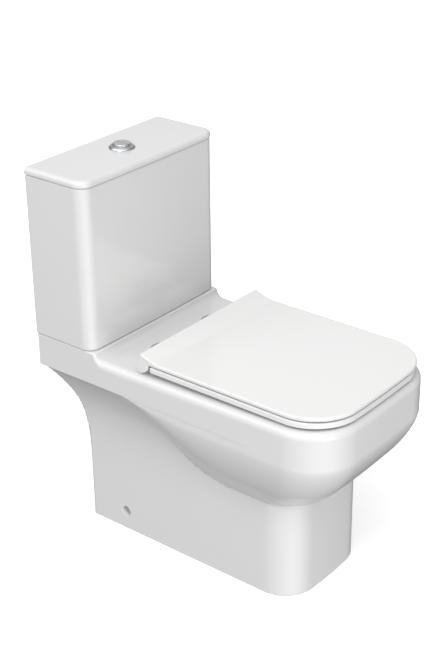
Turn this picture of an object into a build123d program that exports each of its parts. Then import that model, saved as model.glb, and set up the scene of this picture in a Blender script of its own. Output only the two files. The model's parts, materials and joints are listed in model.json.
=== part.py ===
"""Close coupled toilet: a skirted washdown pan with its cistern bolted on top, a dual flush
button, the valves inside the cistern, and a slim soft-close seat and lid.

Frame: millimetres, +Z up, the floor at Z 0, +Y towards the wall, the user's side at -Y, and the
object symmetric about X 0 apart from its inlet side. The origin is on the floor, in the middle.
"""

import os
from math import cos, radians, sin

from build123d import *

# ---------------------------------------------------------------- driving dimensions
LENGTH = 692.0  # wall to the nose of the pan
WALL_Y = LENGTH / 2
CLAY = 12.0  # thickness of the fired clay
RIM_Z = 420.0  # top of the bowl's rim
LEDGE_Z = 434.0  # raised ledge that carries the cistern
PAN_HALF = 190.0  # half-width of the pan
APRON_Z = 368.0  # lower edge of the pan's upright side
FOOT_HALF = 116.0  # half-width of the foot
FOOT_BACK, FOOT_FRONT = 72.0, 572.0  # wall to the foot's rear and front edges
CISTERN_HALF, CISTERN_DEPTH = 192.0, 149.0
CISTERN_LOW, CISTERN_TOP = 434.5, 765.5
LID_HALF, LID_DEPTH = 194.0, 151.0
LID_LOW, LID_TOP = 765.9, 780.0
SEAT_HALF = 179.5
SEAT_NOSE = 686.0  # wall to the nose of the seat
SEAT_CORNER, SEAT_BOW = 90.0, 6.0
RING_LOW, RING_TOP = 429.0, 442.5
RING_BACK = 281.0  # wall to the ring's rear edge
COVER_LOW, COVER_TOP = 446.0, 453.5
HINGE_BACK, HINGE_Z = 259.0, 441.0  # hinge axis
POST_X, POST_HALF = 77.5, 15.0  # hinge posts, 155 mm apart
FIXING_BACK = 229.0  # wall to the seat fixing holes
PIN_R, BORE_R = 4.0, 4.06
RING_LUG = (46.0, 60.0)  # along X, either side
COVER_LUG = (95.0, 105.0)
DAMPER = (105.0, 135.0)
OUTLET_Z, OUTLET_R, OUTLET_BACK = 180.0, 51.0, 130.0  # horizontal waste spigot
VALVE_BACK = 75.0  # wall to the row of holes in the cistern's floor
COUPLING_X = 82.0  # bolts either side of the flush way
INLET_X, INLET_R = -140.0, 10.48  # half inch thread
BUTTON_Y = 72.0  # wall to the button
SIDE_FIX_BACK, SIDE_FIX_Z = 155.0, 42.0  # floor fixings at the foot's sides
BRACKET_HOLE_X = 80.0
SIDES = (-1, 1)
GAP = 0.3  # free space between pieces that move past each other


def from_wall(distance):
    """Y of a point that far in front of the wall."""
    return WALL_Y - distance


HINGE_Y = from_wall(HINGE_BACK)
FIXING_Y = from_wall(FIXING_BACK)
VALVE_Y = from_wall(VALVE_BACK)
SIDE_FIX_Y = from_wall(SIDE_FIX_BACK)
FLUSH = (0, VALVE_Y)
INLET = (INLET_X, VALVE_Y)
COUPLING = [(side * COUPLING_X, VALVE_Y) for side in SIDES]
SEAT_FIXINGS = [(side * POST_X, FIXING_Y) for side in SIDES]
FLOOR_Z = CISTERN_LOW + 14  # inside of the cistern's floor


def write(piece, label):
    """Labels a finished piece and writes it as its own STEP."""
    piece.label = label
    export_step(piece, f"parts/{label}.step")


def d_face(z, half, back, front, corner, bow):
    """D across the pan at height z: straight sides, round front corners, bowed front edge."""
    rear, nose = from_wall(back), from_wall(front)
    with BuildSketch(Plane.XY.offset(z), mode=Mode.PRIVATE) as face:
        with BuildLine():
            Polyline((-half, nose + bow), (-half, rear), (half, rear), (half, nose + bow))
            ThreePointArc((half, nose + bow), (0, nose), (-half, nose + bow))
        make_face()
        fillet(face.vertices().group_by(Axis.Y)[0], radius=corner)
    return face.sketch


def box_face(z, half, back, front, corner):
    """Rounded rectangle across the pan at height z."""
    with BuildSketch(Plane.XY.offset(z), mode=Mode.PRIVATE) as face:
        with Locations((0, from_wall((back + front) / 2))):
            RectangleRounded(2 * half, front - back, corner)
    return face.sketch


def disc_faces(places, z, radius, inner=0.0):
    """Round faces, or rings, at those places at height z."""
    with BuildSketch(Plane.XY.offset(z), mode=Mode.PRIVATE) as face:
        with Locations(*places):
            Circle(radius)
            if inner:
                Circle(inner, mode=Mode.SUBTRACT)
    return face.sketch


def boss(places, low, high, radius, inner=0.0, mode=Mode.ADD):
    """Upright cylinders or tubes between two heights."""
    extrude(disc_faces(places, low, radius, inner), amount=high - low, mode=mode)


def hexagons(places, low, high, flats_radius):
    """Upright hexagonal prisms, such as nuts."""
    with BuildSketch(Plane.XY.offset(low), mode=Mode.PRIVATE) as face:
        with Locations(*places):
            RegularPolygon(flats_radius, 6, major_radius=False)
    extrude(face.sketch, amount=high - low)


def block(x_low, x_high, back, front, low, high, mode=Mode.ADD):
    """Square block given by its X range, distances from the wall and heights."""
    with BuildSketch(Plane.XY.offset(low), mode=Mode.PRIVATE) as face:
        with Locations(((x_low + x_high) / 2, from_wall((back + front) / 2))):
            Rectangle(x_high - x_low, front - back)
    extrude(face.sketch, amount=high - low, mode=mode)


def bar(x_low, x_high, y, z, radius, mode=Mode.ADD):
    """Cylinder along X between two places."""
    with BuildSketch(Plane.YZ.offset(x_low), mode=Mode.PRIVATE) as face:
        with Locations((y, z)):
            Circle(radius)
    extrude(face.sketch, amount=x_high - x_low, mode=mode)


def profile(x_low, x_high, points, mode=Mode.ADD):
    """Straight-sided (Y, Z) outline drawn out along X."""
    with BuildSketch(Plane.YZ.offset(x_low), mode=Mode.PRIVATE) as face:
        with BuildLine():
            Polyline(*points, close=True)
        make_face()
    extrude(face.sketch, amount=x_high - x_low, mode=mode)


def both_sides(span):
    """The same stretch of X on the left and on the right."""
    low, high = span
    return [(-high, -low), (low, high)]


os.makedirs("parts", exist_ok=True)

# ---------------------------------------------------------------- pan
# Outer skin of the bowl's belly: height, half-width, back and front from the wall, corner.
BELLY = [
    (385, 189, 215, 690.5, 98),
    (349, 189, 228, 690.5, 98),
    (320, 185, 249, 683, 94),
    (280, 171, 283, 661, 86),
    (245, 153, 325, 631, 76),
    (215, 128, 393, 590, 54),
]
COVE_Z = 120.0  # the foot is upright below this and spreads to the apron above it


def foot_row(z):
    """Section of the foot: the cove widens it and carries it back to the wall."""
    share = max(0.0, (z - COVE_Z) / (APRON_Z - COVE_Z)) ** 2.75
    half = FOOT_HALF + (PAN_HALF - 4 - FOOT_HALF) * share
    return z, half, FOOT_BACK * (1 - share), FOOT_FRONT, 56


FOOT = [foot_row(z) for z in (COVE_Z, 200, 260, 310, 345, APRON_Z)]
# Inside of the bowl, rounded at both ends.
BOWL = [
    (RIM_Z, 134, 312, 640, 110),
    (380, 134, 314, 640, 110),
    (330, 118, 322, 622, 100),
    (280, 96, 330, 588, 84),
    (230, 70, 338, 532, 60),
    (180, 46, 345, 455, 42),
    (158, 34, 350, 425, 32),
]
TRAP_R = 32.0
SPIGOT_LENGTH = 48.0
TRAP_WAY = [(0, from_wall(392), 186), (0, from_wall(326), 172), (0, from_wall(262), 236),
            (0, from_wall(218), OUTLET_Z), (0, from_wall(OUTLET_BACK + SPIGOT_LENGTH - 2), OUTLET_Z)]


def skin(rows, inset=0.0):
    """Loft through D sections, drawn in by inset."""
    loft([
        d_face(z, half - inset, back + inset, front - inset, corner - inset / 2, 5).face()
        for z, half, back, front, corner in rows
    ])


def bowl_loft(spread=0.0):
    """Loft through the inside of the bowl, spread outwards."""
    loft([
        box_face(z, half + spread, back - spread, front + spread, corner + spread * 0.9).face()
        for z, half, back, front, corner in BOWL
    ])


def tube(radius):
    """Trap way as one round sweep: out of the sump, over the weir and down to the outlet."""
    with BuildLine(mode=Mode.PRIVATE) as way:
        FilletPolyline(*TRAP_WAY, radius=[40, 40, 40])
    line = way.wires()[0]
    with BuildSketch(Plane(line @ 0, z_dir=line % 0), mode=Mode.PRIVATE) as face:
        Circle(radius)
    sweep(face.sketch, path=line)


def spigot(radius, back, front):
    """Horizontal cylinder on the outlet's centre line."""
    with BuildSketch(Plane.XZ.offset(-from_wall(front)), mode=Mode.PRIVATE) as face:
        with Locations((0, OUTLET_Z)):
            Circle(radius)
    extrude(face.sketch, amount=-(front - back))


with BuildPart() as outside:
    extrude(d_face(APRON_Z, PAN_HALF, 0, LENGTH, 96, 6), amount=RIM_Z - APRON_Z)
    skin(BELLY)
    skin(FOOT)
    extrude(d_face(0, FOOT_HALF, FOOT_BACK, FOOT_FRONT, 56, 5), amount=COVE_Z)
    block(-PAN_HALF, PAN_HALF, 0, CISTERN_DEPTH + 10, RIM_Z - 10, LEDGE_Z)

with BuildPart() as inside:
    extrude(d_face(APRON_Z - 4, PAN_HALF - CLAY, -1, LENGTH - CLAY, 90, 6), amount=RIM_Z - CLAY - APRON_Z + 4)
    skin(BELLY, CLAY)
    skin(FOOT, CLAY)
    extrude(d_face(-1, FOOT_HALF - CLAY, FOOT_BACK - 1, FOOT_FRONT - CLAY, 50, 5), amount=COVE_Z + 1)
    block(-FOOT_HALF + CLAY, FOOT_HALF - CLAY, -1, 120, -1, 330)

with BuildPart() as bowl_shell:
    bowl_loft(CLAY)

with BuildPart() as bowl_space:
    bowl_loft()
    extrude(box_face(RIM_Z - 0.01, *BOWL[0][1:]), amount=20)

with BuildPart() as trap_shell:
    tube(TRAP_R + 9)
    spigot(OUTLET_R, OUTLET_BACK, OUTLET_BACK + SPIGOT_LENGTH)

with BuildPart() as trap_space:
    tube(TRAP_R)
    spigot(OUTLET_R - 10, OUTLET_BACK - 1, OUTLET_BACK + SPIGOT_LENGTH - 6)

DUCT_Z = RIM_Z - CLAY - 42  # flush duct under the deck
with BuildPart() as pan:
    add(outside.part)
    add(inside.part, mode=Mode.SUBTRACT)
    add(bowl_shell.part)
    add(trap_shell.part)
    block(-46, 46, VALVE_BACK - 46, BOWL[0][2] + 4, DUCT_Z, RIM_Z - 2)
    add(bowl_space.part, mode=Mode.SUBTRACT)
    add(trap_space.part, mode=Mode.SUBTRACT)
    block(-36, 36, VALVE_BACK - 36, BOWL[0][2] + 12, DUCT_Z + 10, RIM_Z - CLAY, Mode.SUBTRACT)
    # pocket under the cistern for the gasket and the coupling plate, with its holes
    block(-116, 116, VALVE_BACK - 58, VALVE_BACK + 58, RIM_Z, LEDGE_Z + 1, Mode.SUBTRACT)
    boss([FLUSH], RIM_Z - CLAY - 10, RIM_Z + 1, 34, mode=Mode.SUBTRACT)
    boss(COUPLING, RIM_Z - CLAY - 1, RIM_Z + 1, 7, mode=Mode.SUBTRACT)
    boss([INLET], RIM_Z - CLAY - 1, LEDGE_Z + 1, 22, mode=Mode.SUBTRACT)
    boss(SEAT_FIXINGS, RIM_Z - CLAY - 1, RIM_Z + 1, 7, mode=Mode.SUBTRACT)
    # floor fixing holes in the foot's sides, each with a shallow seat for its cap
    bar(-FOOT_HALF - 9, FOOT_HALF + 9, SIDE_FIX_Y, SIDE_FIX_Z, 4.5, Mode.SUBTRACT)
    for span in both_sides((FOOT_HALF - 4, FOOT_HALF + 9)):
        bar(*span, SIDE_FIX_Y, SIDE_FIX_Z, 9, Mode.SUBTRACT)
write(pan.part, "pan")

# ---------------------------------------------------------------- cistern and what is bolted to it
CISTERN_WALL = 9.0
with BuildPart() as cistern:
    extrude(d_face(CISTERN_LOW, CISTERN_HALF, 0, CISTERN_DEPTH, 23, 3), amount=CISTERN_TOP - CISTERN_LOW)
    extrude(
        d_face(FLOOR_Z, CISTERN_HALF - CISTERN_WALL, CISTERN_WALL, CISTERN_DEPTH - CISTERN_WALL, 15, 3),
        amount=CISTERN_TOP - FLOOR_Z + 1, mode=Mode.SUBTRACT,
    )
    boss([FLUSH], CISTERN_LOW - 1, FLOOR_Z + 1, 31, mode=Mode.SUBTRACT)
    boss(COUPLING, CISTERN_LOW - 1, FLOOR_Z + 1, 5, mode=Mode.SUBTRACT)
    boss([INLET], CISTERN_LOW - 1, FLOOR_Z + 1, 11, mode=Mode.SUBTRACT)
write(cistern.part, "cistern")

PLATE_LOW = CISTERN_LOW - 2.5
with BuildPart() as coupling_plate:
    block(-108, 108, VALVE_BACK - 36, VALVE_BACK + 36, PLATE_LOW, CISTERN_LOW)
    boss([FLUSH], PLATE_LOW - 1, CISTERN_LOW + 1, 31, mode=Mode.SUBTRACT)
    boss(COUPLING, PLATE_LOW - 1, CISTERN_LOW + 1, 4.6, mode=Mode.SUBTRACT)
write(coupling_plate.part, "coupling_plate")

with BuildPart() as coupling_gasket:
    boss([FLUSH], RIM_Z, PLATE_LOW, 56, 44.5)
write(coupling_gasket.part, "coupling_gasket")

SHELF_UNDER = RIM_Z - CLAY
BOLT_R = 4.0
with BuildPart() as coupling_bolts:
    boss(COUPLING, SHELF_UNDER - 32, FLOOR_Z + 4, BOLT_R)
    hexagons(COUPLING, FLOOR_Z + 4, FLOOR_Z + 9.5, 6.5)
write(coupling_bolts.part, "coupling_bolts")

with BuildPart() as coupling_bolt_seals:
    boss(COUPLING, FLOOR_Z, FLOOR_Z + 4, 12, BOLT_R)
write(coupling_bolt_seals.part, "coupling_bolt_seals")

with BuildPart() as coupling_washers:
    boss(COUPLING, SHELF_UNDER - 3, SHELF_UNDER, 13, BOLT_R)
write(coupling_washers.part, "coupling_washers")


def wing_nuts(places, top, bore, reach):
    """Nuts with a wing to each side, tightened from below."""
    boss(places, top - 9, top, bore + 5)
    for x, y in places:
        block(x - reach, x + reach, WALL_Y - y - 1.5, WALL_Y - y + 1.5, top - 14, top - 2)
    boss(places, top - 20, top + 1, bore, mode=Mode.SUBTRACT)


with BuildPart() as coupling_wing_nuts:
    wing_nuts(COUPLING, SHELF_UNDER - 3, BOLT_R, 17)
write(coupling_wing_nuts.part, "coupling_wing_nuts")

# ---------------------------------------------------------------- flush valve
VALVE_R, VALVE_BORE = 30.0, 25.0
SEAT_Z = FLOOR_Z + 24  # top of the valve's seat
VALVE_HEAD_Z = 640.0
VALVE_LIFT = 12.0
with BuildPart() as flush_valve_body:
    boss([FLUSH], CISTERN_LOW - 26, SEAT_Z, VALVE_R, VALVE_BORE)
    boss([FLUSH], FLOOR_Z + 3, FLOOR_Z + 7, 38, VALVE_BORE)
    with BuildSketch(Plane.XY.offset(SEAT_Z - 4)):
        with Locations(FLUSH):
            with PolarLocations(31.5, 4, start_angle=45):
                Rectangle(5, 9)
    extrude(amount=VALVE_HEAD_Z - SEAT_Z + 4)
    boss([FLUSH], VALVE_HEAD_Z, VALVE_HEAD_Z + 12, 35, 17)
write(flush_valve_body.part, "flush_valve_body")

with BuildPart() as flush_valve_seal:
    boss([FLUSH], FLOOR_Z, FLOOR_Z + 3, 38, VALVE_R)
write(flush_valve_seal.part, "flush_valve_seal")

with BuildPart() as flush_valve_nut:
    hexagons([FLUSH], PLATE_LOW - 9, PLATE_LOW, 38)
    boss([FLUSH], PLATE_LOW - 10, PLATE_LOW + 1, VALVE_R, mode=Mode.SUBTRACT)
write(flush_valve_nut.part, "flush_valve_nut")

TUBE_TOP = 700.0
with BuildPart() as overflow_tube:
    boss([FLUSH], SEAT_Z + 4.6, TUBE_TOP, 14, 11.5)
    boss([FLUSH], SEAT_Z + 4.6, SEAT_Z + 8, 27, 11.5)
    boss([FLUSH], VALVE_HEAD_Z - 30, VALVE_HEAD_Z - 26, 22, 11.5)
write(overflow_tube.part, "overflow_tube")

with BuildPart() as flush_seal:
    boss([FLUSH], SEAT_Z + GAP, SEAT_Z + 4.6, 28, 11.5)
write(flush_seal.part, "flush_seal")

# ---------------------------------------------------------------- fill valve, bottom entry
COLUMN_R = 12.0
TAIL_LOW, TAIL_LENGTH = CISTERN_LOW - 46, 24.0  # free thread for the supply hose
FILL_HEAD_Z = 690.0
with BuildPart() as fill_valve_body:
    boss([INLET], TAIL_LOW, TAIL_LOW + TAIL_LENGTH, INLET_R)
    boss([INLET], TAIL_LOW + TAIL_LENGTH, FLOOR_Z + 6, INLET_R - 0.4)
    boss([INLET], FLOOR_Z + 3, FLOOR_Z + 9, 17)
    boss([INLET], FLOOR_Z + 9, FILL_HEAD_Z, COLUMN_R)
    boss([INLET], TAIL_LOW - 1, FILL_HEAD_Z - 10, 5, mode=Mode.SUBTRACT)
write(fill_valve_body.part, "fill_valve_body")

with BuildPart() as fill_valve_seal:
    boss([INLET], FLOOR_Z, FLOOR_Z + 3, 17, INLET_R - 0.4)
write(fill_valve_seal.part, "fill_valve_seal")

with BuildPart() as fill_valve_nut:
    hexagons([INLET], CISTERN_LOW - 8, CISTERN_LOW, 15)
    boss([INLET], CISTERN_LOW - 9, CISTERN_LOW + 1, INLET_R - 0.4, mode=Mode.SUBTRACT)
write(fill_valve_nut.part, "fill_valve_nut")

# lever arm: from its pivot in front of the valve's head to the float's rod
ARM_PIVOT_Y, ARM_PIVOT_Z = VALVE_Y - 24, FILL_HEAD_Z + 12
ARM_LENGTH = 44.0
ARM_SWING = 20.0  # degrees either side of level
ROD_X = INLET_X + ARM_LENGTH
FLOAT_TRAVEL = 2 * ARM_LENGTH * sin(radians(ARM_SWING))
with BuildPart() as fill_valve_head:
    boss([INLET], FILL_HEAD_Z, FILL_HEAD_Z + 22, 18)
    with BuildSketch(Plane.XZ.offset(-(ARM_PIVOT_Y + 2.5))):
        with Locations((INLET_X, ARM_PIVOT_Z)):
            Circle(5)
    extrude(amount=-9)
    with BuildSketch(Plane.XZ.offset(-(ARM_PIVOT_Y - 3.5))):
        with Locations((INLET_X, ARM_PIVOT_Z)):
            Circle(2.5)
    extrude(amount=-8)
write(fill_valve_head.part, "fill_valve_head")

FLOAT_LOW = 590.0
with BuildPart() as float_cup:
    boss([INLET], FLOAT_LOW, FLOAT_LOW + 60, 30, COLUMN_R + 1)
    rod_y = ARM_PIVOT_Y
    boss([(ROD_X, rod_y)], FLOAT_LOW + 44, ARM_PIVOT_Z - FLOAT_TRAVEL / 2 - 6, 2)
    block(INLET_X, ROD_X + 4, VALVE_BACK + 20, VALVE_BACK + 28, FLOAT_LOW + 44, FLOAT_LOW + 50)
    boss([INLET], FLOAT_LOW - 1, FLOAT_LOW + 61, COLUMN_R + 1, mode=Mode.SUBTRACT)
write(float_cup.part, "float_cup")

with BuildPart() as float_arm:
    drop = radians(ARM_SWING)
    tip = (INLET_X + ARM_LENGTH * cos(drop), ARM_PIVOT_Z - ARM_LENGTH * sin(drop))
    with BuildSketch(Plane.XZ.offset(-(ARM_PIVOT_Y - 2))):
        with Locations((INLET_X, ARM_PIVOT_Z)):
            Circle(4.6)
        with Locations(tip):
            Circle(3.6)
        with Locations(((INLET_X + tip[0]) / 2, (ARM_PIVOT_Z + tip[1]) / 2)):
            Rectangle(ARM_LENGTH, 6, rotation=-ARM_SWING)
        with Locations((INLET_X, ARM_PIVOT_Z)):
            Circle(2.56, mode=Mode.SUBTRACT)
    extrude(amount=-4)
write(float_arm.part, "float_arm")

# ---------------------------------------------------------------- cistern lid and dual flush button
BUTTON = (0, from_wall(BUTTON_Y))
BEZEL_R, BEZEL_BORE, BEZEL_TOP = 26.0, 18.2, 786.0
PAD_R, PAD_LOW, PAD_TOP = 17.6, 776.0, 790.0
with BuildPart() as cistern_lid:
    extrude(d_face(LID_LOW, LID_HALF, 0, LID_DEPTH, 25, 3), amount=LID_TOP - LID_LOW)
    upper = cistern_lid.faces().sort_by(Axis.Z)[-1].edges().filter_by(lambda e: e.center().Y < WALL_Y - 1)
    fillet(upper, 8)
    hollow = d_face(LID_LOW - 1, LID_HALF - 12, 10, LID_DEPTH - 12, 14, 3)
    extrude(hollow, amount=LID_TOP - 8 - LID_LOW + 1, mode=Mode.SUBTRACT)
    for x_low, x_high in both_sides((100, 150)):
        block(x_low, x_high, CISTERN_WALL + 2, CISTERN_WALL + 5, CISTERN_TOP - 10, LID_TOP - 7)
        block(x_low, x_high, CISTERN_DEPTH - CISTERN_WALL - 8, CISTERN_DEPTH - CISTERN_WALL - 5,
              CISTERN_TOP - 10, LID_TOP - 7)
    boss([BUTTON], LID_LOW - 1, LID_TOP + 1, 20.4, mode=Mode.SUBTRACT)
write(cistern_lid.part, "cistern_lid")

with BuildPart() as button_bezel:
    boss([BUTTON], LID_TOP, BEZEL_TOP, BEZEL_R)
    chamfer(button_bezel.edges().group_by(Axis.Z)[-1], 4, 6)
    boss([BUTTON], LID_TOP - 28, LID_TOP, 20.2)
    boss([BUTTON], LID_TOP - 29, BEZEL_TOP + 1, BEZEL_BORE, mode=Mode.SUBTRACT)
write(button_bezel.part, "button_bezel")

with BuildPart() as button_bezel_nut:
    boss([BUTTON], LID_TOP - 18, LID_TOP - 8, 27, 20.2)
write(button_bezel_nut.part, "button_bezel_nut")

ROD_OFFSET = 8.0
with BuildPart() as button_guide:
    boss([BUTTON], LID_TOP - 32, LID_TOP - 28, 20.2)
    boss([(side * ROD_OFFSET, BUTTON[1]) for side in SIDES], LID_TOP - 33, LID_TOP - 27, 3.2, mode=Mode.SUBTRACT)
write(button_guide.part, "button_guide")


for side, label in ((-1, "full_flush_button"), (1, "half_flush_button")):
    with BuildPart() as pad:
        extrude(disc_faces([BUTTON], PAD_LOW, PAD_R), amount=PAD_TOP - PAD_LOW)
        fillet(pad.edges().group_by(Axis.Z)[-1], 2)
        split(bisect_by=Plane.YZ.offset(side * 0.35), keep=Keep.TOP if side > 0 else Keep.BOTTOM)
    write(pad.part, label)
for side, label in ((-1, "full_push_rod"), (1, "half_push_rod")):
    with BuildPart() as rod:
        boss([(side * ROD_OFFSET, BUTTON[1])], TUBE_TOP + VALVE_LIFT + 2, PAD_LOW, 2.4)
    write(rod.part, label)

# ---------------------------------------------------------------- seat fixings and hinges
DISC_TOP = RIM_Z + 5.5
with BuildPart() as hinge_bases:
    boss(SEAT_FIXINGS, RIM_Z, DISC_TOP, 25)
    boss(SEAT_FIXINGS, RIM_Z - 1, DISC_TOP + 1, BOLT_R, mode=Mode.SUBTRACT)
write(hinge_bases.part, "hinge_bases")

with BuildPart() as hinge_posts:
    for side in SIDES:
        low, high = side * POST_X - POST_HALF, side * POST_X + POST_HALF
        profile(low, high, [
            (HINGE_Y - 8, DISC_TOP), (FIXING_Y + 12, DISC_TOP), (FIXING_Y + 12, DISC_TOP + 3),
            (FIXING_Y - 9, DISC_TOP + 3), (HINGE_Y + 12, DISC_TOP + 4),
            (HINGE_Y + 8, HINGE_Z), (HINGE_Y - 8, HINGE_Z),
        ])
        bar(low, high, HINGE_Y, HINGE_Z, 8)
        bar(low - 1, high + 1, HINGE_Y, HINGE_Z, BORE_R, Mode.SUBTRACT)
    boss(SEAT_FIXINGS, DISC_TOP - 1, DISC_TOP + 8, BOLT_R, mode=Mode.SUBTRACT)
write(hinge_posts.part, "hinge_posts")

with BuildPart() as hinge_bolts:
    boss(SEAT_FIXINGS, SHELF_UNDER - 55, DISC_TOP + 3, BOLT_R)
    boss(SEAT_FIXINGS, DISC_TOP + 3, DISC_TOP + 6, 7)
write(hinge_bolts.part, "hinge_bolts")

with BuildPart() as hinge_cones:
    for x, y in SEAT_FIXINGS:
        with BuildSketch(Plane.XY.offset(SHELF_UNDER)):
            with Locations((x, y)):
                Circle(13)
        with BuildSketch(Plane.XY.offset(SHELF_UNDER - 16)):
            with Locations((x, y)):
                Circle(9)
        loft()
    boss(SEAT_FIXINGS, SHELF_UNDER - 17, SHELF_UNDER + 1, BOLT_R, mode=Mode.SUBTRACT)
write(hinge_cones.part, "hinge_cones")

with BuildPart() as hinge_nuts:
    wing_nuts(SEAT_FIXINGS, SHELF_UNDER - 16, BOLT_R, 14)
write(hinge_nuts.part, "hinge_nuts")

with BuildPart() as hinge_pins:
    for low, high in both_sides((RING_LUG[0], DAMPER[1] - 3)):
        bar(low, high, HINGE_Y, HINGE_Z, PIN_R)
write(hinge_pins.part, "hinge_pins")

# ---------------------------------------------------------------- seat ring
with BuildPart() as seat_ring:
    extrude(d_face(RING_LOW, SEAT_HALF - 1, RING_BACK, SEAT_NOSE - 1, SEAT_CORNER, SEAT_BOW),
            amount=RING_TOP - RING_LOW)
    fillet(seat_ring.edges().group_by(Axis.Z)[-1].filter_by(lambda e: e.center().Y < from_wall(RING_BACK) - 1), 3)
    extrude(d_face(RING_LOW - 1, 112, 322, 626, 84, 10), amount=30, mode=Mode.SUBTRACT)
    for low, high in both_sides(RING_LUG):
        bar(low, high, HINGE_Y, HINGE_Z, 7)
        profile(low, high, [
            (HINGE_Y, HINGE_Z - 7), (HINGE_Y, HINGE_Z), (from_wall(RING_BACK + 1), HINGE_Z),
            (from_wall(RING_BACK + 1), HINGE_Z - 7),
        ])
        bar(low - 1, high + 1, HINGE_Y, HINGE_Z, BORE_R, Mode.SUBTRACT)
write(seat_ring.part, "seat_ring")

RING_BUFFERS = [(x, from_wall(back)) for x, back in ((-142, 330), (142, 330), (-118, 620), (118, 620))]
with BuildPart() as ring_buffers:
    boss(RING_BUFFERS, RIM_Z + GAP, RING_LOW, 8)
write(ring_buffers.part, "ring_buffers")

# ---------------------------------------------------------------- seat lid
HOOD_BACK = 247.0  # wall to the hood's rearmost point
HOOD_TOP = 466.0
HOOD = [
    (from_wall(300), COVER_TOP), (from_wall(286), 455.5), (from_wall(272), 459.5), (HINGE_Y - 2, HOOD_TOP),
    (from_wall(HOOD_BACK), HINGE_Z + 3), (from_wall(HOOD_BACK + 1), HINGE_Z - 6),
    (HINGE_Y + 5, RING_LOW - 4), (HINGE_Y - 3, RING_LOW - 5), (HINGE_Y - 13, RING_LOW),
    (HINGE_Y - 18, HINGE_Z - 6), (HINGE_Y - 19, COVER_LOW), (from_wall(300), COVER_LOW),
]
HOLLOW = [
    (HINGE_Y - 17, COVER_LOW - 40), (HINGE_Y - 17, 453), (HINGE_Y - 3, 460.5),
    (HINGE_Y + 8.6, HINGE_Z + 4), (HINGE_Y + 8.6, COVER_LOW - 40),
]
CHEEK = 14.0
with BuildPart() as seat_lid:
    extrude(d_face(COVER_LOW, SEAT_HALF, 290, SEAT_NOSE, SEAT_CORNER + 1, SEAT_BOW), amount=COVER_TOP - COVER_LOW)
    fillet(seat_lid.edges().group_by(Axis.Z)[-1].filter_by(lambda e: e.center().Y < from_wall(291)), 3)
    profile(-SEAT_HALF, SEAT_HALF, HOOD)
    profile(-SEAT_HALF + CHEEK, SEAT_HALF - CHEEK, HOLLOW, Mode.SUBTRACT)
    for low, high in both_sides((RING_LUG[0] - 3, POST_X + POST_HALF + 2)):
        profile(low, high, [
            (HINGE_Y - 30, COVER_LOW - 30), (HINGE_Y - 30, COVER_LOW), (HINGE_Y - 17, COVER_LOW + 2),
            (HINGE_Y - 3, 460.5), (HINGE_Y + 30, 460.5), (HINGE_Y + 30, COVER_LOW - 30),
        ], Mode.SUBTRACT)
    for low, high in both_sides(COVER_LUG):
        bar(low, high, HINGE_Y, HINGE_Z, 7.5)
        profile(low, high, [
            (HINGE_Y - 7, HINGE_Z), (HINGE_Y + 7, HINGE_Z), (HINGE_Y + 1, 462), (HINGE_Y - 7, 460),
        ])
    for low, high in both_sides((COVER_LUG[0] - 3, DAMPER[1] + 2)):
        bar(low, high, HINGE_Y, HINGE_Z, BORE_R, Mode.SUBTRACT)
write(seat_lid.part, "seat_lid")

with BuildPart() as soft_close_dampers:
    for low, high in both_sides(DAMPER):
        bar(low, high, HINGE_Y, HINGE_Z, 8.4)
        bar(low - 1, high + 1, HINGE_Y, HINGE_Z, BORE_R, Mode.SUBTRACT)
write(soft_close_dampers.part, "soft_close_dampers")

LID_BUFFERS = [(side * 128, from_wall(back)) for side in SIDES for back in (400, 560)]
with BuildPart() as lid_buffers:
    boss(LID_BUFFERS, RING_TOP + GAP, COVER_LOW, 6)
write(lid_buffers.part, "lid_buffers")

# ---------------------------------------------------------------- floor fixings
with BuildPart() as floor_brackets:
    for low, high in both_sides((FOOT_HALF - CLAY - 50, FOOT_HALF - CLAY - 0.2)):
        block(low, high, SIDE_FIX_BACK - 20, SIDE_FIX_BACK + 20, 0, 6)
    for low, high in both_sides((FOOT_HALF - CLAY - 18, FOOT_HALF - CLAY - 0.2)):
        block(low, high, SIDE_FIX_BACK - 20, SIDE_FIX_BACK + 20, 0, 60)
    boss([(side * BRACKET_HOLE_X, SIDE_FIX_Y) for side in SIDES], -1, 7, 4, mode=Mode.SUBTRACT)
    bar(-FOOT_HALF, FOOT_HALF, SIDE_FIX_Y, SIDE_FIX_Z, 3.0, Mode.SUBTRACT)
write(floor_brackets.part, "floor_brackets")

with BuildPart() as side_fixing_screws:
    for low, high in both_sides((FOOT_HALF - CLAY - 26, FOOT_HALF - 4)):
        bar(low, high, SIDE_FIX_Y, SIDE_FIX_Z, 3.0)
    for low, high in both_sides((FOOT_HALF - 4, FOOT_HALF - 1.5)):
        bar(low, high, SIDE_FIX_Y, SIDE_FIX_Z, 6)
write(side_fixing_screws.part, "side_fixing_screws")

with BuildPart() as side_screw_caps:
    for side in SIDES:
        span = sorted((side * (FOOT_HALF - 4), side * (FOOT_HALF + 0.5)))
        bar(*span, SIDE_FIX_Y, SIDE_FIX_Z, 8.6)
        bar(*sorted((side * (FOOT_HALF - 5), side * (FOOT_HALF - 1))), SIDE_FIX_Y, SIDE_FIX_Z, 6.2, Mode.SUBTRACT)
write(side_screw_caps.part, "side_screw_caps")
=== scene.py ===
"""Looks of the close coupled toilet: glazed ceramic, polished seat, chrome button, soft studio.

Lengths are millimetres until a mesh is made, then metres. Every place comes from the frame's boxes.
"""

import json

import bpy
import numpy as np
from mathutils import Matrix, Vector


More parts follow.
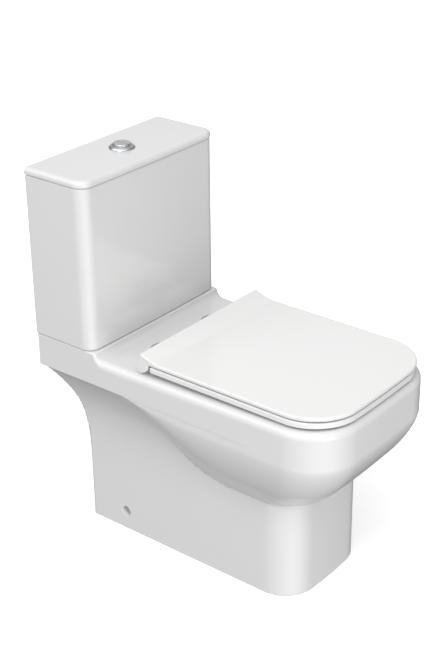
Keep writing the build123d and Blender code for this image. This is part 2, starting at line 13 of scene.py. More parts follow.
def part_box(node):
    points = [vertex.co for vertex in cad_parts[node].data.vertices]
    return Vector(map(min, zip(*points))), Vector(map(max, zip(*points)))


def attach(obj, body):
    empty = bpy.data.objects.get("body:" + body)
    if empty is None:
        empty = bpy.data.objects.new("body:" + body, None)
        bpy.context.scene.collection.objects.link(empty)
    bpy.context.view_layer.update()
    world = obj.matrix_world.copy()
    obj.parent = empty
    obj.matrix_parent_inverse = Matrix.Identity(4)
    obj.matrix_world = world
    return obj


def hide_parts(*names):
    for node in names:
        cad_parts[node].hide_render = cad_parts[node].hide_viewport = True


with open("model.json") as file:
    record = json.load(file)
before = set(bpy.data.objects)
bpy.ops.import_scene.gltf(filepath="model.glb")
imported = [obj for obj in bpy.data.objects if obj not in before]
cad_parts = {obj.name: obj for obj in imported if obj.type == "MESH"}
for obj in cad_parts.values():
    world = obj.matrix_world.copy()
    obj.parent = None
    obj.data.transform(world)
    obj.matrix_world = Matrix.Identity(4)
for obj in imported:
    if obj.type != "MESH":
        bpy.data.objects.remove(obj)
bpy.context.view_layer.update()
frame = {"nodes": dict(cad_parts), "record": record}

MM = 0.001


def box_mm(node):
    """Low and high corners of a CAD node, in millimetres."""
    return tuple(np.array(corner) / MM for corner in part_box(node))


# ---------------------------------------------------------------- places taken from the frame
PAN_LOW, PAN_HIGH = box_mm("pan")
TANK_LOW, TANK_HIGH = box_mm("cistern")
TOP_LOW, TOP_HIGH = box_mm("cistern_lid")
RING_LOW, RING_HIGH = box_mm("seat_ring")
COVER_LOW, COVER_HIGH = box_mm("seat_lid")
BEZEL_LOW, BEZEL_HIGH = box_mm("button_bezel")
PIN_LOW, PIN_HIGH = box_mm("hinge_pins")
CAP_LOW, CAP_HIGH = box_mm("side_screw_caps")

WALL_Y = TANK_HIGH[1]
RIM_Z = box_mm("hinge_bases")[0][2]  # the hinge bases stand on the deck
LEDGE_Z = PAN_HIGH[2]
PAN_HALF = PAN_HIGH[0]
HINGE_Y = (PIN_LOW[1] + PIN_HIGH[1]) / 2
HINGE_Z = (PIN_LOW[2] + PIN_HIGH[2]) / 2
CAP_Y, CAP_Z = (CAP_LOW[1] + CAP_HIGH[1]) / 2, (CAP_LOW[2] + CAP_HIGH[2]) / 2
BUTTON_Y = (BEZEL_LOW[1] + BEZEL_HIGH[1]) / 2
CLAY = 12.0  # wall of the pan
FOOT_HALF, FOOT_BACK, FOOT_FRONT = 116.0, 72.0, 572.0  # half width, and distances from the wall
NOSE = WALL_Y - PAN_LOW[1]  # wall to the front of the pan


# ---------------------------------------------------------------- distance functions, in millimetres
def from_wall(y):
    """Distance in front of the wall."""
    return WALL_Y - y


def ramp(value, start, end):
    """0 before start, 1 after end, smooth between."""
    t = np.clip((value - start) / (end - start), 0, 1)
    return t * t * (3 - 2 * t)


def join(a, b, radius):
    """Union with a concave fillet of that radius."""
    corner = np.hypot(np.maximum(radius - a, 0), np.maximum(radius - b, 0))
    return np.maximum(radius, np.minimum(a, b)) - corner


def common(a, b, radius):
    """Intersection with its edge rounded to that radius."""
    corner = np.hypot(np.maximum(radius + a, 0), np.maximum(radius + b, 0))
    return np.minimum(-radius, np.maximum(a, b)) + corner


def rounded(across, along, corner):
    """Distance to a corner of that radius, from the distances past its centre."""
    outside = np.hypot(np.maximum(across, 0), np.maximum(along, 0))
    return outside + np.minimum(np.maximum(across, along), 0) - corner


def d_shape(x, y, half, front, corner, bow=5.0):
    """D in plan: straight sides, rounded front corners and a gently bowed front edge, open behind."""
    along = from_wall(y) - front + bow * (np.abs(x) / half) ** 2 + corner
    return rounded(np.abs(x) - half + corner, along, corner)


def oblong(x, y, half_x, half_y, corner):
    """Rounded rectangle about the origin."""
    return rounded(np.abs(x) - half_x + corner, np.abs(y) - half_y + corner, corner)


def offset_from(y, z, start, end):
    """Offset in Y and Z from the nearest point of a straight piece in the side view."""
    (y0, z0), (y1, z1) = start, end
    dy, dz = y1 - y0, z1 - z0
    t = np.clip(((y - y0) * dy + (z - z0) * dz) / (dy * dy + dz * dz), 0, 1)
    return y - y0 - t * dy, z - z0 - t * dz


def path_distance(x, y, z, points):
    """Distance to a line through points in the middle plane."""
    best = np.full(np.shape(x), 1e3)
    for start, end in zip(points[:-1], points[1:]):
        off_y, off_z = offset_from(y, z, start, end)
        best = np.minimum(best, np.sqrt(x * x + off_y ** 2 + off_z ** 2))
    return best


# ---------------------------------------------------------------- pan
APRON_Z = 366.0  # lower edge of the upright side, at the wall
BELLY_TOP, BELLY_LOW = 349.0, 209.0  # where the belly starts to roll in, and where it meets the foot
BELLY_BACK, BELLY_FRONT = 128.0, -110.0  # stretch of Y over which the belly sinks below the apron
COVE_START = 120.0
COVE_STEP = 5.0  # the cove ends this far inside the pan's side
BELLY_CORNER, BELLY_LOW_CORNER = 96, 50  # front corners in plan, where the belly starts and where it ends
FOOT_CORNER, FOOT_BOW = 57, 9
SEAM_LOW, SEAM_HIGH = 285, 345  # heights between which the crease of belly and foot gets sharper
SEAM_R, SEAM_SHARPER = 26, 18
CAP_R = 9.6
RIM_RISE = 7.0  # the rim climbs this much from the deck to its front
RISE_START = 240  # from the wall
LEDGE_DEPTH = 152


def belly_share(y, z):
    """0 on the pan's upright side, 1 on the foot: how far the skin has rolled in."""
    sink = np.clip((y - BELLY_FRONT) / (BELLY_BACK - BELLY_FRONT), 0, 1) ** 2.5
    top = BELLY_TOP + (APRON_Z - BELLY_TOP) * sink
    low = BELLY_LOW + (APRON_Z - 4 - BELLY_LOW) * sink
    t = np.clip((top - z) / (top - low), 0, 1)
    roll = 1.42
    return 1 - (1 - t ** roll) ** (1 / roll)


def pan_skin(x, y, z, inset=0.0):
    """Outside of the pan below its deck, drawn in by inset."""
    s = belly_share(y, z)
    half = PAN_HALF + (FOOT_HALF - PAN_HALF) * s - inset
    front = NOSE + (FOOT_FRONT - NOSE) * s - inset
    back = FOOT_BACK * s
    corner = BELLY_CORNER + (BELLY_LOW_CORNER - BELLY_CORNER) * s - inset / 2
    belly = np.maximum(d_shape(x, y, half, front, corner), back - from_wall(y))
    c = np.clip((z - COVE_START) / (APRON_Z - COVE_START), 0, 1) ** 2.75
    half = FOOT_HALF + (PAN_HALF - COVE_STEP - FOOT_HALF) * c - inset
    back = FOOT_BACK * (1 - c)
    foot = d_shape(x, y, half, FOOT_FRONT - inset, FOOT_CORNER - inset / 2, FOOT_BOW)
    foot = np.maximum(foot, back - from_wall(y))
    foot = np.maximum(foot, z - APRON_Z - 10)
    return join(belly, foot, SEAM_R - SEAM_SHARPER * ramp(z, SEAM_LOW, SEAM_HIGH))


BOWL_DEPTH = 262


def bowl_hollow(x, y, z):
    """Inside of the bowl, from the rim down to the sump."""
    t = np.clip((RIM_Z - z) / BOWL_DEPTH, 0, 1)
    half = 134 - 100 * t ** 1.8
    back = 312 + 38 * t
    front = 640 - 215 * t ** 1.7
    corner = 110 - 80 * t ** 1.5
    plan = oblong(x, from_wall(y) - (back + front) / 2, half, (front - back) / 2, corner)
    return common(plan, (RIM_Z - BOWL_DEPTH) - z, 22)


# the trap's middle line in the side view, from the sump over the weir to the spigot
TRAP = [(-44, 186), (22, 172), (60, 196), (86, 232), (116, 238), (146, 216), (168, 186), (218, 180)]
TRAP_R = 32.0
SPIGOT_Z, SPIGOT_R, SPIGOT_BACK = 180.0, 51.0, 130.0  # its end is 130 from the wall
DUCT_HALF, DUCT_DROP, DUCT_END = 46, 54, 316  # flush duct: half width, depth under the rim, end from the wall
FLUSH_HALF, FLUSH_DROP, FLUSH_HALF_Z = 34, 34, 13  # the water way inside the duct


def pan_distance(x, y, z):
    """The whole casting: skin, deck, ledge, bowl, trap and hollow foot."""
    skin = pan_skin(x, y, z)
    ledge = common(z - LEDGE_Z, from_wall(y) - LEDGE_DEPTH, 3)
    rise = RIM_RISE * np.clip((from_wall(y) - RISE_START) / (NOSE - RISE_START), 0, 1)
    top = join(z - RIM_Z - rise, ledge, 15)
    edge = 3 + 12 * ramp(from_wall(y), 140, 175)
    body = common(skin, top, edge)
    body = common(body, -from_wall(y), 2)
    body = common(body, -z, 2)

    bowl = bowl_hollow(x, y, z)
    trap = path_distance(x, y, z, TRAP)
    pipe = np.hypot(x, z - SPIGOT_Z)
    spigot = np.maximum(pipe - SPIGOT_R, SPIGOT_BACK - from_wall(y))
    spigot = common(spigot, from_wall(y) - SPIGOT_BACK - 58, 12)
    duct = np.maximum(np.abs(x) - DUCT_HALF, np.maximum(RIM_Z - DUCT_DROP - z, from_wall(y) - DUCT_END))
    solid_inside = join(join(bowl - CLAY, trap - TRAP_R - 9, 14), spigot, 10)
    solid_inside = join(solid_inside, duct, 10)
    hollow = np.maximum(pan_skin(x, y, z, CLAY), z - RIM_Z + CLAY)
    hollow = common(hollow, -solid_inside, 10)
    body = common(body, -hollow, 3)

    body = common(body, -bowl, 9)
    bore = np.minimum(trap - TRAP_R, np.maximum(pipe - SPIGOT_R + 9, from_wall(y) - SPIGOT_BACK - 52))
    body = common(body, -bore, 3)
    flush_way = np.maximum(np.abs(x) - FLUSH_HALF, np.abs(z - RIM_Z + FLUSH_DROP) - FLUSH_HALF_Z)
    flush_way = np.maximum(flush_way, from_wall(y) - 330)
    body = common(body, -np.maximum(flush_way, 230 - from_wall(y)), 3)
    seat = np.maximum(np.hypot(y - CAP_Y, z - CAP_Z) - CAP_R - 0.4, FOOT_HALF - 5 - np.abs(x))
    return common(body, -seat, 0.8)


# ---------------------------------------------------------------- cistern and its lid
TANK_WALL, TANK_CORNER, TANK_BOW = 9, 24, 3
LUG_X, LUG_HALF = 125, 25  # the lid's locating lugs: their place across, and half their length
BUTTON_HOLE_R = 20.4


def tank_distance(x, y, z):
    """Open-topped cistern with soft edges."""
    plan = d_shape(x, y, TANK_HIGH[0], WALL_Y - TANK_LOW[1], TANK_CORNER, TANK_BOW)
    outer = common(common(plan, -from_wall(y), 2), np.maximum(TANK_LOW[2] - z, z - TANK_HIGH[2]), 3.5)
    front = WALL_Y - TANK_LOW[1] - TANK_WALL
    inside = d_shape(x, y, TANK_HIGH[0] - TANK_WALL, front, TANK_CORNER - TANK_WALL, TANK_BOW)
    inside = common(common(inside, TANK_WALL - from_wall(y), 8), TANK_LOW[2] + 14 - z, 10)
    return common(outer, -inside, 2)


def tank_lid_distance(x, y, z):
    """Lid with a pillowed edge on three sides, hollow below, with a hole for the button."""
    plan = d_shape(x, y, TOP_HIGH[0], WALL_Y - TOP_LOW[1], 27, TANK_BOW)
    plate_low = TANK_HIGH[2] + 0.4
    outer = common(plan, z - TOP_HIGH[2], 9)
    outer = common(outer, -from_wall(y), 1.5)
    outer = common(outer, plate_low - z, 2.5)
    inside = d_shape(x, y, TOP_HIGH[0] - 12, WALL_Y - TOP_LOW[1] - 12, 15, TANK_BOW)
    inside = common(np.maximum(inside, 10 - from_wall(y)), z - TOP_HIGH[2] + 8, 4)
    shell = common(outer, -inside, 2)
    along = np.abs(np.abs(x) - LUG_X) - LUG_HALF
    back_lugs = np.maximum(along, np.abs(from_wall(y) - 12.5) - 1.5)
    front_lugs = np.maximum(along, np.abs(from_wall(y) - 133.5) - 1.5)
    lugs = np.maximum(np.minimum(back_lugs, front_lugs), np.maximum(TOP_LOW[2] - z, z - TOP_HIGH[2] + 7))
    hole = np.hypot(x, y - BUTTON_Y) - BUTTON_HOLE_R
    return common(np.minimum(shell, lugs), -hole, 1)


# ---------------------------------------------------------------- seat
SEAT_FRONT = WALL_Y - COVER_LOW[1]
RING_TOP = HINGE_Z + 1.5
SLAB_LOW, SLAB_HIGH = RING_TOP + 3.5, RING_TOP + 11.0  # the lid, above a gap over the ring
HOOD_TOP = COVER_HIGH[2]
RING_LOW_Z = RING_LOW[2] + 2.0  # leaves a thin shadow gap over the rim
NOTCH = (43.0, 95.0)  # the hood is open behind the hinge posts and the ring's lugs
PIN_HOLE_R = 4.3
LID_LUG_X, LID_LUG_R, LID_LUG_HALF = 100, 7.5, 5
RING_LUG_X, RING_LUG_R, RING_LUG_HALF = 53, 7, 7
OPENING_Y = 474  # middle of the ring's opening, from the wall
OPENING_HALF_X, OPENING_HALF_Y, OPENING_CORNER = 112, 152, 84


def polygon(y, z, points):
    """Signed distance to a closed outline in the side view."""
    distance = np.full(np.shape(y), 1e6)
    inside = np.zeros(np.shape(y), bool)
    for start, end in zip(points, points[1:] + points[:1]):
        distance = np.minimum(distance, np.hypot(*offset_from(y, z, start, end)))
        (y0, z0), (y1, z1) = start, end
        dy, dz = y1 - y0, z1 - z0
        crosses = (z0 > z) != (z1 > z)
        inside ^= crosses & (y < y0 + (z - z0) * dy / (dz if dz else 1e-9))
    return np.where(inside, -distance, distance)


def cover_top(y):
    """Height of the lid's upper face: flat, then a concave sweep up to the hood's edge."""
    t = np.clip((y - (HINGE_Y - 46)) / 44, 0, 1)
    return SLAB_HIGH + (HOOD_TOP - SLAB_HIGH) * t ** 1.5


def cover_distance(x, y, z):
    """Slim lid whose rear rises into a full-width hood over the hinges."""
    plan = d_shape(x, y, COVER_HIGH[0], SEAT_FRONT, 91, 6)
    slab = common(np.maximum(plan, y - HINGE_Y + 15), z - cover_top(y), 3)
    slab = common(slab, SLAB_LOW - z, 2)
    outline = [(HINGE_Y - 40, SLAB_LOW), (HINGE_Y - 40, SLAB_HIGH), (HINGE_Y - 14, cover_top(HINGE_Y - 14)),
               (HINGE_Y - 2, HOOD_TOP), (HINGE_Y + 11, HINGE_Z + 3), (HINGE_Y + 10, HINGE_Z - 6),
               (HINGE_Y + 5, HINGE_Z - 16), (HINGE_Y - 3, HINGE_Z - 16.5), (HINGE_Y - 13, HINGE_Z - 11),
               (HINGE_Y - 18, HINGE_Z - 5), (HINGE_Y - 19, SLAB_LOW)]
    side_view = polygon(y, z, outline)
    side_view = np.maximum(side_view, z - cover_top(np.minimum(y, HINGE_Y - 2)))
    hood = common(side_view, np.abs(x) - COVER_HIGH[0], 2.5)
    body = np.minimum(slab, hood)
    inner = [(HINGE_Y - 16, HINGE_Z - 40), (HINGE_Y - 16, HINGE_Z + 11), (HINGE_Y - 4, HINGE_Z + 19),
             (HINGE_Y + 8, HINGE_Z + 3), (HINGE_Y + 8, HINGE_Z - 40)]
    cavity = common(polygon(y, z, inner), np.abs(x) - COVER_HIGH[0] + 13, 2)
    body = common(body, -cavity, 1)
    gap = np.abs(np.abs(x) - sum(NOTCH) / 2) - (NOTCH[1] - NOTCH[0]) / 2
    gap = np.maximum(gap, np.maximum(z - np.minimum(cover_top(y) - 4, HINGE_Z + 19), HINGE_Y - 16 - y))
    body = common(body, -gap, 1)
    axle = np.hypot(y - HINGE_Y, z - HINGE_Z)
    web = np.maximum(np.abs(y - HINGE_Y + 3) - 5, np.abs(z - HINGE_Z - 10) - 10)
    lug = np.maximum(np.abs(np.abs(x) - LID_LUG_X) - LID_LUG_HALF, np.minimum(axle - LID_LUG_R, web))
    return np.minimum(body, np.maximum(lug, PIN_HOLE_R - axle))


def ring_distance(x, y, z):
    """Seat ring: a slab with rounded edges, its opening and two hinge lugs."""
    half, front = RING_HIGH[0], WALL_Y - RING_LOW[1]
    plan = d_shape(x, y, half, front, 90, 6)
    plan = common(plan, y - HINGE_Y + 22, 4)
    opening = oblong(x, from_wall(y) - OPENING_Y, OPENING_HALF_X, OPENING_HALF_Y, OPENING_CORNER)
    dish = 2.5 * np.clip(1 - opening / 45, 0, 1) ** 2
    slab = common(common(plan, z - RING_TOP + dish, 3), RING_LOW_Z - z, 2)
    slab = common(slab, -opening, 4)
    axle = np.hypot(y - HINGE_Y, z - HINGE_Z)
    web = np.maximum(np.abs(y - HINGE_Y + 13) - 13, np.abs(z - HINGE_Z + 3.5) - 3.5)
    lug = np.maximum(np.abs(np.abs(x) - RING_LUG_X) - RING_LUG_HALF, np.minimum(axle - RING_LUG_R, web))
    return join(slab, np.maximum(lug, PIN_HOLE_R - axle), 2)


# ---------------------------------------------------------------- from distance to mesh
SETTLE_ROUNDS, SETTLE_REACH = 5, 2.5
LATHE_SEGMENTS = 64


def mirrored(low, high, step):
    """The same fine stretch on both sides of the middle."""
    return [(-high, -low, step), (low, high, step)]


def ticks(low, high, step, fine=()):
    """Grid lines from low to high, closer together in the fine stretches (start, end, step)."""
    stops = sorted({low, high, *(min(max(v, low), high) for start, end, _ in fine for v in (start, end))})
    lines = [low]
    for start, end in zip(stops[:-1], stops[1:]):
        middle = (start + end) / 2
        size = min([step] + [s for a, b, s in fine if a <= middle <= b])
        count = max(1, int(np.ceil((end - start) / size)))
        lines.extend(start + (end - start) * (np.arange(count) + 1) / count)
    return np.array(lines)


def slope(distance, points):
    """Gradient of a distance function at points."""
    small = 0.05
    parts = []
    for axis in range(3):
        shift = np.zeros(3)
        shift[axis] = small
        ahead, behind = points + shift, points - shift
        parts.append((distance(*ahead.T) - distance(*behind.T)) / (2 * small))
    return np.stack(parts, axis=1)


def surface_net(distance, xs, ys, zs):
    """Quads over the zero level of a distance function on a rectangular grid."""
    grid = np.meshgrid(xs, ys, zs, indexing="ij")
    value = distance(*grid)
    inside = value < 0
    shape = tuple(n - 1 for n in value.shape)
    total, count = np.zeros(shape + (3,)), np.zeros(shape)
    crossings = []
    for axis in range(3):
        near = tuple(slice(0, -1) if a == axis else slice(None) for a in range(3))
        far = tuple(slice(1, None) if a == axis else slice(None) for a in range(3))
        index = np.argwhere(inside[near] != inside[far])
        step = np.eye(3, dtype=int)[axis]
        a, b = value[tuple(index.T)], value[tuple((index + step).T)]
        low = np.stack([xs[index[:, 0]], ys[index[:, 1]], zs[index[:, 2]]], axis=1)
        end = index + step
        high = np.stack([xs[end[:, 0]], ys[end[:, 1]], zs[end[:, 2]]], axis=1)
        spot = low + (high - low) * (a / (a - b))[:, None]
        u, v = [k for k in range(3) if k != axis]
        for du in (0, 1):
            for dv in (0, 1):
                cell = index.copy()
                cell[:, u] -= du
                cell[:, v] -= dv
                ok = np.all((cell >= 0) & (cell < shape), axis=1)
                np.add.at(total, tuple(cell[ok].T), spot[ok])
                np.add.at(count, tuple(cell[ok].T), 1)
        crossings.append((index, a < 0, u, v, axis))
    used = count > 0
    number = np.full(shape, -1)
    number[used] = np.arange(used.sum())
    points = total[used] / count[used][:, None]
    quads = []
    for index, starts_inside, u, v, axis in crossings:
        ok = (index[:, u] > 0) & (index[:, v] > 0) & (index[:, u] < shape[u]) & (index[:, v] < shape[v])
        index, starts_inside = index[ok], starts_inside[ok]
        corners = []
        for du, dv in ((1, 1), (0, 1), (0, 0), (1, 0)):
            cell = index.copy()
            cell[:, u] -= du
            cell[:, v] -= dv
            corners.append(number[tuple(cell.T)])
        face = np.stack(corners, axis=1)
        flip = starts_inside if axis != 1 else ~starts_inside
        face[~flip] = face[~flip][:, ::-1]
        quads.append(face)
    return points, np.concatenate(quads)


def settle(distance, points, reach):
    """Moves points onto the zero level, no further than reach from where they started."""
    start = points.copy()
    for _ in range(SETTLE_ROUNDS):
        g = slope(distance, points)
        size = np.maximum((g ** 2).sum(axis=1), 1e-3)
        points = points - g * (distance(*points.T) / size)[:, None]
        away = points - start
        length = np.linalg.norm(away, axis=1)
        far = length > reach
        points[far] = start[far] + away[far] * (reach / length[far])[:, None]
    return points


def mesh_object(name, points_mm, faces, normals=None):
    """Object with smooth shading, its mesh in metres, with its own normals if they are given."""
    mesh = bpy.data.meshes.new(name)
    mesh.from_pydata((points_mm * MM).tolist(), [], [list(map(int, face)) for face in faces])
    mesh.validate()
    mesh.shade_smooth()
    if normals is not None:
        mesh.normals_split_custom_set_from_vertices(normals.tolist())
    piece = bpy.data.objects.new(name, mesh)
    bpy.context.collection.objects.link(piece)
    return piece


def cast_piece(name, distance, xs, ys, zs):
    """Meshes a distance function and gives it exact normals."""
    points, quads = surface_net(distance, xs, ys, zs)
    points = settle(distance, points, SETTLE_REACH)
    g = slope(distance, points)
    normals = g / np.maximum(np.linalg.norm(g, axis=1), 1e-6)[:, None]
    return mesh_object(name, points, quads, normals)


def lathe(name, profile, centre, axis="z"):
    """Surface of revolution of (radius, height) points, closed where the radius is 0."""
    points, faces, rings = [], [], []
    for radius, height in profile:
        if radius < 1e-6:
            rings.append([len(points)])
            points.append((0.0, 0.0, height))
            continue
        rings.append(list(range(len(points), len(points) + LATHE_SEGMENTS)))
        for k in range(LATHE_SEGMENTS):
            angle = 2 * np.pi * k / LATHE_SEGMENTS
            points.append((radius * np.cos(angle), radius * np.sin(angle), height))
    for ring, after in zip(rings, rings[1:]):
        for k in range(LATHE_SEGMENTS):
            n = (k + 1) % LATHE_SEGMENTS
            if len(ring) == 1:
                faces.append((ring[0], after[n], after[k]))
            elif len(after) == 1:
                faces.append((ring[k], ring[n], after[0]))
            else:
                faces.append((ring[k], ring[n], after[n], after[k]))
    points = np.array(points)
    if axis == "x":
        points = points[:, [2, 0, 1]]
    return mesh_object(name, points + np.array(centre), faces)


# ---------------------------------------------------------------- materials
MOTTLE_SCALE = 9.0
ROUGH_SPREAD = 0.25


def material(name, colour, roughness, metallic=0.0, coat=0.0, mottle=0.015, bump=0.02, bump_scale=60.0):
    """Principled material whose colour, roughness and relief vary with procedural noise."""
    mat = bpy.data.materials.new(name)
    mat.use_nodes = True
    nodes, links = mat.node_tree.nodes, mat.node_tree.links
    shader = nodes["Principled BSDF"]
    shader.inputs["Metallic"].default_value = metallic
    shader.inputs["Coat Weight"].default_value = coat
    shader.inputs["Coat Roughness"].default_value = 0.03
    shader.inputs["IOR"].default_value = 1.5
    place = nodes.new("ShaderNodeTexCoord")
    tint = nodes.new("ShaderNodeTexNoise")
    tint.inputs["Scale"].default_value = MOTTLE_SCALE
    tint.inputs["Detail"].default_value = 3.0
    links.new(place.outputs["Object"], tint.inputs["Vector"])
    shade = nodes.new("ShaderNodeValToRGB")
    shade.color_ramp.elements[0].color = (*[c * (1 - mottle) for c in colour], 1)
    shade.color_ramp.elements[1].color = (*[min(1, c * (1 + mottle)) for c in colour], 1)
    links.new(tint.outputs["Fac"], shade.inputs["Fac"])
    links.new(shade.outputs["Color"], shader.inputs["Base Color"])
    gloss = nodes.new("ShaderNodeMapRange")
    gloss.inputs["To Min"].default_value = roughness * (1 - ROUGH_SPREAD)
    gloss.inputs["To Max"].default_value = roughness * (1 + ROUGH_SPREAD)
    links.new(tint.outputs["Fac"], gloss.inputs["Value"])
    links.new(gloss.outputs["Result"], shader.inputs["Roughness"])
    grain = nodes.new("ShaderNodeTexNoise")
    grain.inputs["Scale"].default_value = bump_scale
    grain.inputs["Detail"].default_value = 2.0
    links.new(place.outputs["Object"], grain.inputs["Vector"])
    relief = nodes.new("ShaderNodeBump")
    relief.inputs["Strength"].default_value = bump
    relief.inputs["Distance"].default_value = 0.001
    links.new(grain.outputs["Fac"], relief.inputs["Height"])
    links.new(relief.outputs["Normal"], shader.inputs["Normal"])
    return mat


MATERIALS = {
    "vitreous_china": material("glazed_china", (0.705, 0.705, 0.702), 0.09, coat=0.3, bump=0.03,
                               bump_scale=45),
    "seat_plastic": material("polished_seat", (0.77, 0.77, 0.765), 0.11, coat=0.2, mottle=0.006, bump=0.015,
                             bump_scale=180),
    "chrome": material("chrome", (0.60, 0.61, 0.62), 0.12, metallic=1.0, bump=0.01, bump_scale=300),
    "white_plastic": material("white_plastic", (0.80, 0.80, 0.78), 0.42, bump=0.08, bump_scale=500),
    "grey_plastic": material("grey_plastic", (0.36, 0.37, 0.38), 0.40, bump=0.1, bump_scale=500),
    "blue_plastic": material("blue_plastic", (0.05, 0.15, 0.33), 0.42, bump=0.1, bump_scale=500),
    "stainless": material("stainless", (0.60, 0.60, 0.60), 0.28, metallic=1.0, bump=0.06, bump_scale=900),
    "zinc_steel": material("zinc_steel", (0.52, 0.53, 0.54), 0.36, metallic=1.0, mottle=0.08, bump=0.08,
                           bump_scale=400),
    "black_rubber": material("black_rubber", (0.02, 0.02, 0.02), 0.7, mottle=0.2, bump=0.2, bump_scale=900),
    "clear_buffer": material("buffer", (0.62, 0.62, 0.60), 0.5, bump=0.1, bump_scale=500),
    "foam_rubber": material("foam_rubber", (0.03, 0.03, 0.03), 0.9, mottle=0.3, bump=0.6, bump_scale=1400),
}
slots = {entry["node"]: entry["material_slot"] for entry in frame["record"]["subparts"]}


def paint(piece, slot):
    """Gives a piece the only material it has."""
    piece.data.materials.clear()
    piece.data.materials.append(MATERIALS[slot])


def stand_in(piece, node, body):
    """Shows a piece instead of its CAD node, with the node's slot."""
    paint(piece, slots[node])
    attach(piece, body)
    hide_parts(node)


for node, thing in frame["nodes"].items():
    paint(thing, slots[node])

# ---------------------------------------------------------------- ceramic
pan_x = ticks(-PAN_HALF - 4, PAN_HALF + 4, 4.5, [
    *mirrored(PAN_HALF - 22, PAN_HALF + 4, 3),
    *mirrored(FOOT_HALF - 6, FOOT_HALF + 2, 1.5),
])
pan_y = ticks(PAN_LOW[1] - 4, WALL_Y + 4, 4.5, [
    (WALL_Y - 4, WALL_Y + 4, 1.5),
    (WALL_Y - 174, WALL_Y - 148, 2),  # the ledge's edge
    (CAP_Y - 11, CAP_Y + 11, 1.5),
])
pan_z = ticks(-3, LEDGE_Z + 3, 4.5, [
    (-3, 4, 1),
    (CAP_Z - 11, CAP_Z + 11, 1.5),
    (APRON_Z - 8, APRON_Z + 4, 2),
    (RIM_Z - 18, LEDGE_Z + 3, 1.5),
])
stand_in(cast_piece("pan_casting", pan_distance, pan_x, pan_y, pan_z), "pan", "root")

half = TANK_HIGH[0]
tank_x = ticks(-half - 4, half + 4, 12, mirrored(half - 26, half + 4, 3))
tank_y = ticks(TANK_LOW[1] - 4, WALL_Y + 4, 12, [
    (TANK_LOW[1] - 4, TANK_LOW[1] + 26, 3),
    (WALL_Y - 12, WALL_Y + 4, 2),
])
tank_z = ticks(TANK_LOW[2] - 3, TANK_HIGH[2] + 3, 14, [
    (TANK_LOW[2] - 3, TANK_LOW[2] + 24, 2),
    (TANK_HIGH[2] - 6, TANK_HIGH[2] + 3, 1),
])
stand_in(cast_piece("cistern_casting", tank_distance, tank_x, tank_y, tank_z), "cistern", "root")

lid_x = ticks(-half - 6, half + 6, 10, [*mirrored(half - 28, half + 6, 2.5), (-24, 24, 2)])
lid_y = ticks(TOP_LOW[1] - 4, WALL_Y + 4, 10, [
    (TOP_LOW[1] - 4, TOP_LOW[1] + 28, 2.5),
    (WALL_Y - 16, WALL_Y + 4, 2),
    (BUTTON_Y - 24, BUTTON_Y + 24, 2),
])
lid_z = ticks(TOP_LOW[2] - 2, TOP_HIGH[2] + 2, 1.25)
lid_casting = cast_piece("cistern_lid_casting", tank_lid_distance, lid_x, lid_y, lid_z)
stand_in(lid_casting, "cistern_lid", "cistern_lid")

# ---------------------------------------------------------------- seat
seat_x = ticks(-COVER_HIGH[0] - 3, COVER_HIGH[0] + 3, 5, [
    *mirrored(COVER_HIGH[0] - 16, COVER_HIGH[0] + 3, 1.5),
    *mirrored(92, 106, 1.5),  # the lid's lugs
    *mirrored(41, 62, 1.5),  # the ring's lugs
])
seat_y = ticks(COVER_LOW[1] - 3, COVER_HIGH[1] + 3, 4, [
    (HINGE_Y - 50, COVER_HIGH[1] + 3, 1.25),
    (COVER_LOW[1] - 3, COVER_LOW[1] + 12, 1.5),
])
seat_z = ticks(COVER_LOW[2] - 2, COVER_HIGH[2] + 2, 1.0)
stand_in(cast_piece("seat_lid_shell", cover_distance, seat_x, seat_y, seat_z), "seat_lid", "seat_lid")
ring_z = ticks(RING_LOW[2] - 2, HINGE_Z + 9, 1.0)
stand_in(cast_piece("seat_ring_shell", ring_distance, seat_x, seat_y, ring_z), "seat_ring", "seat_ring")

# ---------------------------------------------------------------- button
BEZEL_R = BEZEL_HIGH[0]
SLEEVE_IN, SLEEVE_OUT = 18.2, 20.0  # radii of the sleeve that goes through the lid
top, deck = BEZEL_HIGH[2], TOP_HIGH[2]
bezel = lathe("bezel_ring", [
    (SLEEVE_IN, BEZEL_LOW[2]), (SLEEVE_OUT, BEZEL_LOW[2]), (SLEEVE_OUT, deck),
    (BEZEL_R - 0.3, deck), (BEZEL_R, deck + 0.5), (BEZEL_R - 0.4, deck + 1.4), (BEZEL_R - 2.2, deck + 3.2),
    (BEZEL_R - 4.6, top - 0.9), (BEZEL_R - 6.4, top - 0.15), (BEZEL_R - 7.0, top),
    (18.5, top - 0.2), (SLEEVE_IN, top - 0.8), (SLEEVE_IN, BEZEL_LOW[2]),
], (0, BUTTON_Y, 0))
stand_in(bezel, "button_bezel", "cistern_lid")

# ---------------------------------------------------------------- side caps
CAP_PROFILE = [  # radius, and height from the foot's side
    (0, -4.8), (CAP_R - 0.4, -4.8), (CAP_R, -4.4), (CAP_R, -1.0),
    (CAP_R - 0.5, -0.6), (CAP_R - 2, -0.4), (4.0, -0.2), (0, -0.1),
]
for side, name in ((-1, "left_cap"), (1, "right_cap")):
    profile = [(r, h * side) for r, h in CAP_PROFILE]
    cap = lathe(name, profile, (side * FOOT_HALF, CAP_Y, CAP_Z), axis="x")
    if side < 0:
        cap.data.flip_normals()
    stand_in(cap, "side_screw_caps", "root")

# ---------------------------------------------------------------- studio
def area_light(name, place, aim, size, power):
    """Soft square light."""
    data = bpy.data.lights.new(name, "AREA")
    data.shape = "RECTANGLE"
    data.size, data.size_y = size, size
    data.energy = power
    lamp = bpy.data.objects.new(name, data)
    lamp.location = place
    lamp.rotation_euler = (Vector(aim) - Vector(place)).to_track_quat("-Z", "Y").to_euler()
    bpy.context.collection.objects.link(lamp)


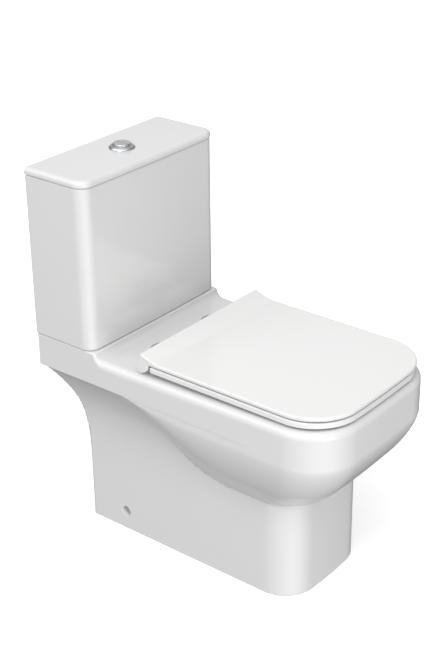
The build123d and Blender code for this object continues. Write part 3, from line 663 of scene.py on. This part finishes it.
FLOOR_HALF = 80.0  # metres, far enough for a floor without a horizon
FLOOR_CORNERS = [(-FLOOR_HALF, -FLOOR_HALF, 0), (FLOOR_HALF, -FLOOR_HALF, 0),
                 (FLOOR_HALF, FLOOR_HALF, 0), (-FLOOR_HALF, FLOOR_HALF, 0)]
floor_mesh = bpy.data.meshes.new("studio_floor")
floor_mesh.from_pydata(FLOOR_CORNERS, [], [(0, 1, 2, 3)])
floor = bpy.data.objects.new("studio_floor", floor_mesh)
bpy.context.collection.objects.link(floor)
floor.data.materials.append(material("studio_floor", (0.97, 0.97, 0.97), 0.7, mottle=0.002, bump=0.0))
# It doesn't light the undersides or show in the glaze, and a little glow makes it white.
floor.visible_diffuse = False
floor.visible_glossy = False
floor_shader = floor.data.materials[0].node_tree.nodes["Principled BSDF"]
floor_shader.inputs["Emission Color"].default_value = (1, 1, 1, 1)
floor_shader.inputs["Emission Strength"].default_value = 0.32

world = bpy.data.worlds.new("studio")
world.use_nodes = True
sky_nodes, sky_links = world.node_tree.nodes, world.node_tree.links


def sky_math(operation, first, second):
    """Math node fed by sockets or plain numbers."""
    node = sky_nodes.new("ShaderNodeMath")
    node.operation = operation
    for socket, value in zip(node.inputs, (first, second)):
        if isinstance(value, (int, float)):
            socket.default_value = value
        else:
            sky_links.new(value, socket)
    return node.outputs[0]


def toward(direction):
    """How far a ray of the sky points along a direction, 0 when it points away."""
    dot = sky_nodes.new("ShaderNodeVectorMath")
    dot.operation = "DOT_PRODUCT"
    sky_links.new(sky_place.outputs["Generated"], dot.inputs[0])
    dot.inputs[1].default_value = Vector(direction).normalized()
    return sky_math("MAXIMUM", dot.outputs["Value"], 0.0)


def lobe(azimuth, elevation, power, peak):
    """Soft light in the sky, its azimuth measured from the front towards the right, in degrees."""
    azimuth, elevation = np.radians(azimuth), np.radians(elevation)
    direction = (np.sin(azimuth) * np.cos(elevation), -np.cos(azimuth) * np.cos(elevation), np.sin(elevation))
    return sky_math("MULTIPLY", sky_math("POWER", toward(direction), float(power)), peak)


# A dim room, a little brighter above: a soft light low at the front left, one high at the left, two behind.
sky_place = sky_nodes.new("ShaderNodeTexCoord")
SKY_LEVEL, SKY_CEILING = 0.27, 0.20
glow = sky_math("ADD", sky_math("MULTIPLY", toward((0, 0, 1)), SKY_CEILING), SKY_LEVEL)
for softbox in (lobe(-28, -24, 6, 1.4), lobe(-65, 52, 3, 1.25),
                lobe(129, 32, 8, 0.5), lobe(-140, 44, 30, 2.0)):
    glow = sky_math("ADD", glow, softbox)
sky_links.new(glow, sky_nodes["Background"].inputs["Strength"])
sky_nodes["Background"].inputs["Color"].default_value = (1.0, 1.0, 1.0, 1)
bpy.context.scene.world = world
bpy.context.scene.view_settings.view_transform = "Standard"

area_light("softbox_left", (-2.2, -0.3, 3.0), (0.0, 0.0, 0.4), 1.8, 31)
area_light("low_front", (-1.0, -2.4, 0.45), (0.0, -0.2, 0.2), 0.9, 13)

# ---------------------------------------------------------------- camera
AZIMUTH, ELEVATION, ROLL = np.radians(-51.32), np.radians(26.68), np.radians(-0.63)
DISTANCE, LENS = 2.7738, 76.3
TARGET_X, TARGET_FROM_WALL, TARGET_Z = 0.0411, 0.2773, 0.430
target = Vector((TARGET_X, WALL_Y * MM - TARGET_FROM_WALL, TARGET_Z))
away = Vector((np.sin(AZIMUTH) * np.cos(ELEVATION), -np.cos(AZIMUTH) * np.cos(ELEVATION), np.sin(ELEVATION)))
camera_data = bpy.data.cameras.new("camera")
camera_data.sensor_width = 36
camera_data.lens = LENS
camera = bpy.data.objects.new("camera", camera_data)
camera.location = target + away * DISTANCE
aim = (-away).to_track_quat("-Z", "Y").to_matrix().to_4x4()
camera.matrix_world = Matrix.Translation(camera.location) @ aim @ Matrix.Rotation(ROLL, 4, "Z")
bpy.context.collection.objects.link(camera)
bpy.context.scene.camera = camera
